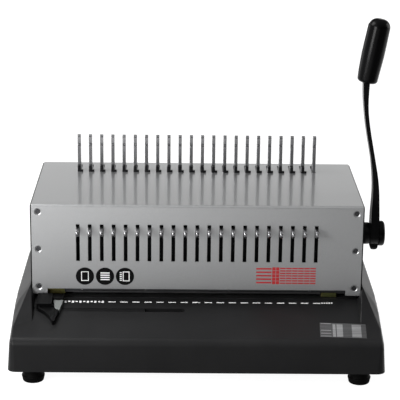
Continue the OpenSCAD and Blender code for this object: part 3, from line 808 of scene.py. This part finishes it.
@dataclass
class BaseAssembly(Assembly):
    """Moulded base, its feet, and what is printed on the table."""

    shell: ShellSizes = ShellSizes()
    easing: EasingSizes = EasingSizes()
    feet: FootSizes = FootSizes()
    plate: PlateSizes = PlateSizes()
    mark_rows: tuple[MarkRow, ...] = (
        MarkRow(-102.1, 14.53, 18, 8.9, (1.7, 1.7)),
        MarkRow(-158.0, 4.5, 11, 2.7, (4.6, 2.6), (0.0, 0.7)),
        MarkRow(151.5, 2.9, 5, 1.7, (3.0, 3.0), (0.8, 0.8)),
    )
    mark_y: float = -9.0
    mark_z: float = 0.07
    ink_mm: float = 0.12

    def build(self) -> None:
        """Makes the base's pieces."""
        self._shell()
        self.dress(self.finishes.ground, "base_plate")
        self.dress(self.finishes.black, "chip_tray")
        self._feet()
        self._marks()
        self._plate()

    def _shell(self) -> None:
        """Copies the moulded base, its shoulders lowered and its flanks filled out."""
        size, datum = self.shell, self.datum
        mesh = copy_solid("base_shell", size.edges)
        for vert in mesh.verts:
            x, y, z = datum.drawn(vert.co)
            table = datum.table_z(y) + size.above
            if abs(x) > size.inside and z > table:
                z = table + (z - table) * size.lowered
            if abs(x) > size.pocket:
                rise = (z - size.straight) / (datum.throat_mm - size.straight)
                room = max(0.0, size.flank - abs(x)) * size.filled
                room *= min(1.0, (abs(x) - size.inside) / size.fill_in)
                x += math.copysign(room * min(1.0, max(0.0, rise)), x)
            vert.co = datum.at(x, y, z)
        self._ease(mesh)
        weigh_normals(self.show("base_shell_fine", mesh, self.finishes.base, Body.FRAME,
                                "base_plastic", "base_shell"))

    def _on_shoulder(self, face: bmesh.types.BMFace) -> bool:
        """Tells whether a face lies wholly on a shoulder or on the flank under it.

        Args:
            face: a face of the base's copy.

        Returns:
            Whether it does.
        """
        size = self.easing
        spots = [self.datum.drawn(vert.co) for vert in face.verts]
        if all(abs(abs(x) - size.wall) < size.wall_slack for x, _, _ in spots):
            return False
        for x, y, z in spots:
            top = abs(x) > self.shell.inside and z > self.datum.table_z(y) + size.over_table
            side = abs(x) > size.flank and z > size.flank_low
            if not (size.front < y < size.back and (top or side)):
                return False
        return True

    def _shoulders(self, mesh: bmesh.types.BMesh) -> list[bmesh.types.BMFace]:
        """The faces on the shoulders and the flanks under them."""
        return [face for face in mesh.faces if self._on_shoulder(face)]

    def _ease(self, mesh: bmesh.types.BMesh) -> None:
        """Cuts the shoulders finer and eases them into one soft form.

        Args:
            mesh: the base's copy.
        """
        size = self.easing
        mesh.normal_update()
        for _ in range(size.cuts):
            bmesh.ops.triangulate(mesh, faces=self._shoulders(mesh))
            faces = set(self._shoulders(mesh))
            edges = [edge for edge in mesh.edges if edge.calc_length() > size.longest * MM
                     and not faces.isdisjoint(edge.link_faces)]
            if not edges:
                break
            bmesh.ops.subdivide_edges(mesh, edges=edges, cuts=1, use_grid_fill=True)
        bmesh.ops.triangulate(mesh, faces=self._shoulders(mesh))
        faces = set(self._shoulders(mesh))
        inner = [vert for vert in mesh.verts
                 if vert.link_faces and faces.issuperset(vert.link_faces)]
        for _ in range(size.passes):
            bmesh.ops.smooth_vert(mesh, verts=inner, factor=size.pull, use_axis_x=True,
                                  use_axis_y=True, use_axis_z=True)

    def _feet(self) -> None:
        """Turns the four feet: a round sole, a soft rim near the top and a neck."""
        size = self.feet
        mesh = bmesh.new()
        profile = [(0.0, 0.0)]
        profile += arc((size.sole - size.soft, size.soft), size.soft, -90.0, 0.0, size.steps)
        profile += arc((size.rim - size.soft, size.rim_z), size.soft, 0.0, size.rim_turn,
                       size.steps)
        profile += [(size.neck, size.neck_z), (size.neck, size.height), (0.0, size.height)]
        for x, y in size.places:
            spin_profile(mesh, profile, Matrix.Translation(self.datum.at(x, y, 0.0)))
        self.show("feet_moulded", mesh, self.finishes.rubber, Body.FRAME, "foot_rubber", "feet")

    def _marks(self) -> None:
        """Lays the row of white marks along the throat, and plain ticks at both its ends."""
        mesh = bmesh.new()
        table = self.datum.table()
        for x, shift, width, depth in itertools.chain(*(row.marks() for row in self.mark_rows)):
            middle = table @ (Vector((x, self.mark_y + shift, self.mark_z)) * MM)
            add_box(mesh, middle, (width, depth, self.ink_mm), self.datum.tilt())
        self.show("table_marks", mesh, self.finishes.white_ink, Body.FRAME, "grey_stop")

    def _plate(self) -> None:
        """Lays the foil plate on the table's right, with plain light fields and lines."""
        size = self.plate
        turn = self.datum.tilt() @ Matrix.Rotation(math.radians(size.turn), 4, "Z")
        centre = self.datum.table() @ (Vector(size.middle) * MM)
        mesh = bmesh.new()
        add_box(mesh, centre, size.sides, turn)
        round_edges(mesh, size.edges)
        self.show("foil_plate", mesh, self.finishes.foil, Body.FRAME, "grey_stop")
        printed = [(x, size.field_y, width, size.field_depth) for x, width in size.fields]
        printed += [(size.line_x, y, size.line_width, depth) for y, depth in size.lines]
        mesh = bmesh.new()
        for x, y, width, depth in printed:
            middle = centre + turn @ (Vector((x, y, size.sides[2] / 2)) * MM)
            add_box(mesh, middle, (width, depth, self.ink_mm), turn)
        self.show("plate_fields", mesh, self.finishes.light_foil, Body.FRAME, "grey_stop")


@dataclass(frozen=True)
class DiscSizes:
    """Round marks on the front and the pictures on them, in millimetres."""

    xs: Triple = (-134.8, -110.6, -86.6)
    z: float = 103.5
    radius: float = 11.0
    y: float = -0.03
    thick: float = 0.1
    segments: int = 64
    sheet: Triple = (9.0, 12.0, 0.9)  # width, height and line
    block: Triple = (8.2, 12.4, 1.0)
    block_x: float = 1.4
    stack: tuple = (4, 2.8, 11.0, 1.4)  # count, pitch, width and height of bars
    rings: tuple = (5, 2.4, 2.6, 1.2)
    rings_x: float = -5.0


@dataclass(frozen=True)
class ChartSizes:
    """Chart printed on the front, in millimetres."""

    columns: tuple = ((80.8, 19.0, 1), (92.9, 4.6, 2), (103.6, 7.3, 6))  # middle, width, count
    rows: tuple = ((1.9, 5), (3.9, 5), (1.6, 7))  # height and count, for each set of columns
    low: float = 94.7
    height: float = 22.0
    gap: float = 0.6


@dataclass
class CoverAssembly(Assembly):
    """Sheet cover, its screws, the end plates and the printed marks."""

    sheet_edges: Rounding = Rounding(0.22)
    screw_edges: Rounding = Rounding(0.15)
    end_edges: Rounding = Rounding(0.4)
    discs: DiscSizes = DiscSizes()
    chart: ChartSizes = ChartSizes()
    ink_y: float = -0.09
    ink_mm: float = 0.06

    def build(self) -> None:
        """Makes the cover's pieces."""
        looks = self.finishes
        self.refine("cover", looks.silver, Body.FRAME, "silver_sheet", self.sheet_edges)
        self.refine("cover_screws", looks.screw, Body.FRAME, "plated_steel", self.screw_edges)
        for node in ("side_plate_left", "side_plate_right"):
            self.refine(node, looks.enamel, Body.FRAME, "black_enamel", self.end_edges)
        self._discs()
        self._signs()
        self._chart()

    def _discs(self) -> None:
        """Prints three plain black discs on the front."""
        size = self.discs
        mesh = bmesh.new()
        upright = Matrix.Rotation(math.pi / 2, 4, "X")
        for x in size.xs:
            place = Matrix.Translation(self.datum.at(x, size.y, size.z)) @ upright
            bmesh.ops.create_cone(mesh, cap_ends=True, segments=size.segments,
                                  radius1=size.radius * MM, radius2=size.radius * MM,
                                  depth=size.thick * MM, matrix=place)
        self.show("front_discs", mesh, self.finishes.black_ink, Body.FRAME, "black_enamel")

    def _signs(self) -> None:
        """Prints plain pictures on the discs: a sheet, a stack and a bound block."""
        size = self.discs
        mesh = bmesh.new()
        first, second, third = size.xs
        self._outline(mesh, first, *size.sheet)
        self._bars(mesh, second, *size.stack)
        self._bars(mesh, third + size.rings_x, *size.rings)
        self._outline(mesh, third + size.block_x, *size.block)
        self.show("disc_signs", mesh, self.finishes.white_ink, Body.FRAME, "grey_stop")

    def _stroke(self, mesh: bmesh.types.BMesh, x: float, z: float, width: float,
                height: float) -> None:
        """Adds one printed bar on the front."""
        add_box(mesh, self.datum.at(x, self.ink_y, z), (width, self.ink_mm, height))

    def _bars(self, mesh: bmesh.types.BMesh, x: float, count: int, pitch: float, width: float,
              height: float) -> None:
        """Adds level bars one above the other, about the discs' middle."""
        for k in range(count):
            self._stroke(mesh, x, self.discs.z + (k - (count - 1) / 2) * pitch, width, height)

    def _outline(self, mesh: bmesh.types.BMesh, x: float, width: float, height: float,
                 line: float) -> None:
        """Adds a printed rectangle of four bars, about the discs' middle.

        Args:
            mesh: where it is added.
            x: its middle.
            width: its outer width.
            height: its outer height.
            line: the bars' width.
        """
        for side in (-1, 1):
            z = self.discs.z + side * (height - line) / 2
            self._stroke(mesh, x + side * (width - line) / 2, self.discs.z, line, height)
            self._stroke(mesh, x, z, width - 2 * line, line)

    def _chart(self) -> None:
        """Prints a plain red chart: bars, a block of full cells and a grid of fine ones."""
        size = self.chart
        mesh = bmesh.new()
        for (x, width, columns), (height, rows) in zip(size.columns, size.rows):
            for column, row in itertools.product(range(columns), range(rows)):
                z = size.low + (row + 0.5) * size.height / rows
                self._stroke(mesh, x + column * width, z, width - size.gap, height)
        self.show("front_chart", mesh, self.finishes.red_ink, Body.FRAME, "grey_stop")


@dataclass
class RingOpener(Assembly):
    """Fixed hooks and the carriage of fingers."""

    finger_edges: Rounding = Rounding(1.3, 4)
    hook_edges: Rounding = Rounding(0.3)

    def build(self) -> None:
        """Makes the ring opener's pieces."""
        looks = self.finishes
        self.refine("fingers", looks.plated, Body.FINGERS, "plated_steel", self.finger_edges)
        self.refine("hooks", looks.hook, Body.FRAME, "dark_hook_steel", self.hook_edges)
        self.dress(looks.ground, "hook_strip", "finger_bar", "finger_arm_left", "finger_arm_right")
        self.dress(looks.black, "rail_guide_left", "rail_guide_right")


@dataclass
class PunchUnit(Assembly):
    """Ram, punches, plates and what shows of them in the slots and the throat."""

    lug_edges: Rounding = Rounding(0.6, 3)
    plate_edges: Rounding = Rounding(0.3)
    coil_crease: float = 60.0

    def build(self) -> None:
        """Makes the punch unit's pieces."""
        looks, edges = self.finishes, self.plate_edges
        self.refine("lugs", looks.plated, Body.RAM, "plated_steel", self.lug_edges)
        self.refine("guide_plate", looks.dull, Body.FRAME, "machined_steel", edges)
        for node in ("end_bracket_left", "end_bracket_right"):
            self.refine(node, looks.zinc, Body.FRAME, "yellow_zinc", edges)
        self.dress(looks.plated, "guide_screws", "guide_posts")
        self.dress(looks.oiled, "ram_bar", "punches", "back_stop")
        self.dress(looks.ground, "die_plate", "ram_rack_left", "ram_rack_right", "pinion_left",
                   "pinion_right", "main_shaft")
        self.dress(looks.bronze, "shaft_bush_left", "shaft_bush_right")
        self._springs()

    def _springs(self) -> None:
        """Copies the return springs, which in the machine shorten as the ram comes down, and
        reckons the share of their length left then.
        """
        piece = self.show("return_springs_wound", weld_solid("return_springs"),
                          self.finishes.oiled, Body.FRAME, "machined_steel", "return_springs",
                          crease=self.coil_crease)
        low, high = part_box("return_springs")
        slide = next(joint for joint in frame["joints"] if joint["name"] == "ram_slide")
        left = (high.z - low.z - slide["range_m"][1]) / (high.z - low.z)
        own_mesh(piece)


@dataclass(frozen=True)
class GripSizes:
    """Grip on the lever, in millimetres and degrees."""

    radius: float = 13.5
    length: float = 78.0
    lean: float = 10.4
    foot: Triple = (202.2, 56.0, 333.0)
    under: tuple[Pair, ...] = ((0.0, 0.6), (5.0, 0.2))
    foot_round: float = 4.0
    foot_in: float = 1.2
    foot_turn: float = -70.0
    foot_steps: int = 6
    swell: tuple[Pair, ...] = ((0.9, 14.0), (0.45, 24.0), (0.1, 34.0), (0.15, 48.0), (0.4, 67.0))
    crown: float = 10.0
    crown_in: float = 0.4
    crown_turn: float = 88.0
    crown_steps: int = 10
    tip: float = 0.02
    steps: int = 96
    seam_proud: float = 0.6
    seam_half: float = 5.0  # degrees to either side
    seam_ends: Pair = (9.0, 70.0)


@dataclass(frozen=True)
class HubSizes:
    """Collar and end knob on the shaft, as profiles in millimetres."""

    shaft_y: float = 56.0
    shaft_z: float = 143.0
    collar_x: float = 200.1
    collar: tuple[Pair, ...] = ((7.05, 0.0), (12.0, 0.0), (13.2, 0.5), (13.5, 1.4), (13.5, 10.8),
                                (13.2, 11.6), (12.6, 12.0), (12.6, 13.35), (7.05, 13.35),
                                (7.05, 0.0))
    knob_x: float = 223.3
    knob_side: tuple[Pair, ...] = ((0.0, 0.05), (14.8, 0.05), (15.3, 0.5), (15.5, 1.6),
                                   (15.5, 3.9))
    knob_round: tuple = ((12.3, 4.4), 3.2, 0.0, 80.0, 6)  # an arc's middle, radius, angles, steps
    knob_face: tuple[Pair, ...] = ((9.5, 7.4), (8.6, 6.9), (4.0, 6.6), (0.0, 6.6))
    steps: int = 64


@dataclass
class HandleAssembly(Assembly):
    """Lever with its grip, collar and end knob."""

    lever_edges: Rounding = Rounding(1.3, 3)
    grip: GripSizes = GripSizes()
    hub: HubSizes = HubSizes()

    def build(self) -> None:
        """Makes the handle's pieces."""
        enamel = self.finishes.enamel
        self.refine("lever", enamel, Body.HANDLE, "black_enamel", self.lever_edges)
        self._grip()
        self._hub()

    def _grip(self) -> None:
        """Turns the grip and raises the seam along its inner side."""
        size = self.grip
        radius, top = size.radius, size.length
        foot = (radius - size.foot_round - size.foot_in, size.foot_round)
        crown = (radius - size.crown - size.crown_in, top - size.crown)
        profile = [*size.under]
        profile += arc(foot, size.foot_round, size.foot_turn, 0.0, size.foot_steps)
        profile += [(radius - less, height) for less, height in size.swell]
        profile += arc(crown, size.crown, 0.0, size.crown_turn, size.crown_steps)
        profile += [(0.0, top - size.tip)]
        mesh = bmesh.new()
        low, high = (end * MM for end in size.seam_ends)
        for vert in spin_profile(mesh, profile, Matrix.Identity(4), size.steps):
            side = math.degrees(math.atan2(vert.co.y, -vert.co.x))
            if abs(side) < size.seam_half and low < vert.co.z < high:
                outwards = Vector((vert.co.x, vert.co.y, 0.0)).normalized()
                vert.co += outwards * size.seam_proud * MM
        lean = Matrix.Rotation(math.radians(size.lean), 4, "Y")
        place = Matrix.Translation(self.datum.at(*size.foot)) @ lean
        bmesh.ops.transform(mesh, matrix=place, verts=mesh.verts)
        self.show("grip_moulded", mesh, self.finishes.grip, Body.HANDLE, "grip_plastic", "grip")

    def _hub(self) -> None:
        """Turns the end knob, with a dished face, and the collar between cover and lever."""
        size, looks = self.hub, self.finishes
        knob = (*size.knob_side, *arc(*size.knob_round), *size.knob_face)
        outwards = Matrix.Rotation(math.pi / 2, 4, "Y")
        for name, profile, x, finish, slot, node in (
                ("knob_moulded", knob, size.knob_x, looks.grip, "grip_plastic", "knob"),
                ("collar_turned", size.collar, size.collar_x, looks.enamel, "black_enamel",
                 "collar")):
            mesh = bmesh.new()
            start = self.datum.at(x, size.shaft_y, size.shaft_z)
            spin_profile(mesh, profile, Matrix.Translation(start) @ outwards, size.steps)
            self.show(name, mesh, finish, Body.HANDLE, slot, node)


@dataclass
class EdgeGuide(Assembly):
    """Wing that the sheets are set against, and its slider."""

    wing_edges: Rounding = Rounding(0.6, 2, 30.0)
    facet_edges: Rounding = Rounding(0.4, 2, 30.0)
    slider_edges: Rounding = Rounding(0.3, 2, 30.0)

    def build(self) -> None:
        """Makes the edge guide's pieces."""
        looks = self.finishes
        self.refine("edge_guide", looks.wing, Body.GUIDE, "black_plastic", self.wing_edges)
        self.refine("edge_facet", looks.grey, Body.GUIDE, "grey_stop", self.facet_edges)
        self.refine("guide_slider", looks.black, Body.GUIDE, "black_plastic", self.slider_edges)


# Studio


@dataclass(frozen=True)
class Camera:
    """Camera that the photograph was taken with, in the drawing's axes."""

    place: Triple = (-19.9, -1824.1, 740.4)
    pan: float = 0.713  # degrees, as the tilt and the roll
    tilt: float = 16.492
    roll: float = 0.663
    lens: float = 144.0
    sensor: float = 36.0
    reach: float = 50.0

    def build(self, datum: Datum) -> None:
        """Makes the camera and sets it as the scene's.

        Args:
            datum: the drawing's zero.
        """
        data = bpy.data.cameras.new("camera")
        data.lens = self.lens
        data.sensor_width = self.sensor
        data.clip_end = self.reach
        turn = Matrix.Identity(4)
        for angle, axis in ((-self.pan, "Z"), (90.0 - self.tilt, "X"), (self.roll, "Z")):
            turn = turn @ Matrix.Rotation(math.radians(angle), 4, axis)
        camera = bpy.data.objects.new("camera", data)
        camera.matrix_world = Matrix.Translation(datum.at(*self.place)) @ turn
        bpy.context.scene.collection.objects.link(camera)
        bpy.context.scene.camera = camera


@dataclass(frozen=True)
class SoftLight:
    """One soft box: where it hangs, what it looks at, its size and its power."""

    name: str
    place: Triple
    aim: Triple
    size: Pair
    power: float

    def build(self) -> None:
        """Hangs the light."""
        data = bpy.data.lights.new(self.name, "AREA")
        data.shape = "RECTANGLE"
        data.size, data.size_y = self.size
        data.energy = self.power
        light = bpy.data.objects.new(self.name, data)
        ahead = Vector(self.aim) - Vector(self.place)
        turn = ahead.to_track_quat("-Z", "Y").to_matrix().to_4x4()
        light.matrix_world = Matrix.Translation(self.place) @ turn
        bpy.context.scene.collection.objects.link(light)


@dataclass(frozen=True)
class StageSizes:
    """Floor and bounce board, in metres."""

    floor_flat: float = 3.0
    board_flat: float = 2.0
    board_front: float = -4.0
    board_half: float = 5.0
    sweep: float = 1.5
    top: float = 6.0
    floor_steps: int = 96
    floor_sweep_steps: int = 12
    board_sweep_steps: int = 10
    crease: float = 60.0


@dataclass
class Studio:
    """Pale floor, bounce board, soft light and camera."""

    camera: Camera = Camera()
    lights: tuple[SoftLight, ...] = (
        SoftLight("key", (-0.80, -0.95, 0.50), (-0.05, 0.0, 0.15), (0.5, 0.5), 12.0),
        SoftLight("top", (-0.70, 0.05, 1.05), (-0.10, 0.0, 0.1), (0.7, 0.7), 10.5),
        SoftLight("fill", (1.5, 0.35, 0.70), (0.1, 0.05, 0.15), (0.9, 0.9), 8.0),
    )
    stage: StageSizes = StageSizes()
    white: Colour = (1.0, 1.0, 1.0)
    floor_tones: tuple[Colour, Colour] = ((0.23, 0.23, 0.23), (0.25, 0.25, 0.25))
    floor_cloud: Noise = Noise(3.0, 3.0)
    floor_roughness: float = 0.9
    floor_cloud_rough: float = 0.1
    floor_gloss: float = 0.1
    floor_glow: float = 0.93
    board_tone: Colour = (0.2, 0.2, 0.2)
    board_roughness: float = 0.9
    board_glow: float = 1.05
    far_glow: float = 0.04
    lit_glow: float = 1.15
    front_fade: Pair = (0.06, 0.10)  # where a fade begins and how far it reaches
    sweep_fade: Pair = (0.38, 1.4)
    lit_ahead: Pair = (0.35, 0.45)
    lit_left: Pair = (-0.40, 0.7)
    left_light: float = 0.45
    left_fade: Pair = (-0.2, 1.1)
    sky_light: float = 0.42
    sky_fade: Pair = (0.0, 1.0)
    dim_light: float = 0.03

    def build(self, datum: Datum) -> None:
        """Makes the studio.

        Args:
            datum: the drawing's zero.
        """
        bpy.context.scene.view_settings.view_transform = "Standard"
        self.camera.build(datum)
        for light in self.lights:
            light.build()
        self._floor()
        self._board()
        self._world()

    def _floor(self) -> None:
        """Lays the plain floor that the camera sees, swept up all round."""
        size = self.stage
        mesh = bmesh.new()
        bend = arc((size.floor_flat, size.sweep), size.sweep, -90.0, 0.0, size.floor_sweep_steps)
        path = [(0.0, 0.0), *bend, (size.floor_flat + size.sweep, size.top)]
        profile = [(radius / MM, height / MM) for radius, height in path]
        spin_profile(mesh, profile, Matrix.Identity(4), size.floor_steps)
        bench = Bench("pale floor")
        cloud = bench.noise(self.floor_cloud)
        bench.set(Base_Color=bench.mix(cloud, *self.floor_tones),
                  Roughness=self.floor_roughness + cloud.swing(self.floor_cloud_rough),
                  Specular_IOR_Level=self.floor_gloss)
        bench.set(Emission_Color=self.white, Emission_Strength=self.floor_glow)
        floor = finish_mesh("floor", mesh, bench.material, size.crease)
        for ray in ("diffuse", "glossy", "transmission", "shadow"):
            setattr(floor, f"visible_{ray}", False)

    def _board(self) -> None:
        """Lays the bounce board under the floor and up behind, which lights the machine unseen."""
        size = self.stage
        mesh = bmesh.new()
        ends = [mesh.verts.new((x, size.board_front, -MM))
                for x in (-size.board_half, size.board_half)]
        line = mesh.edges.new(ends)
        bend = arc((size.board_flat, size.sweep - MM), size.sweep, -90.0, 0.0,
                   size.board_sweep_steps)
        for y, z in [*bend, (size.board_flat + size.sweep, size.top)]:
            grown = bmesh.ops.extrude_edge_only(mesh, edges=[line])["geom"]
            ends = [item for item in grown if isinstance(item, bmesh.types.BMVert)]
            for vert in ends:
                vert.co.y, vert.co.z = y, z
            line = mesh.edges.get(ends)
        bmesh.ops.recalc_face_normals(mesh, faces=mesh.faces)
        bench = Bench("bounce board")
        ahead = 0.0 - bench.along("Y")
        left = 0.0 - bench.along("X")
        dark = ahead.over(*self.front_fade) + bench.along("Z").over(*self.sweep_fade)
        glow = bench.mix(dark, (self.board_glow,) * 3, (self.far_glow,) * 3)
        lit = ahead.over(*self.lit_ahead) * left.over(*self.lit_left)
        glow = bench.mix(lit, glow, (self.lit_glow,) * 3)
        bench.set(Base_Color=self.board_tone, Roughness=self.board_roughness)
        bench.set(Emission_Color=glow, Emission_Strength=1.0)
        board = finish_mesh("bounce_board", mesh, bench.material, size.crease)
        board.visible_camera = False

    def _world(self) -> None:
        """Fills the room with soft white light that comes from the left and from above."""
        bench = Bench("room", room=True)
        left = (0.0 - bench.along("X")).over(*self.left_fade) * self.left_light
        above = bench.along("Z").over(*self.sky_fade) * self.sky_light
        bench.set(Color=self.white, Strength=left + above + self.dim_light)
        bpy.context.scene.world = bench.material


def main() -> None:
    """Builds the machine's looks in order."""
    logging.basicConfig(level=logging.INFO)
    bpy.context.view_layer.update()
    datum = Datum()
    finishes = Finishes()
    Studio().build(datum)
    for kind in (BaseAssembly, CoverAssembly, RingOpener, PunchUnit, HandleAssembly, EdgeGuide):
        kind(datum, finishes).build()


if __name__ == "__main__":
    main()
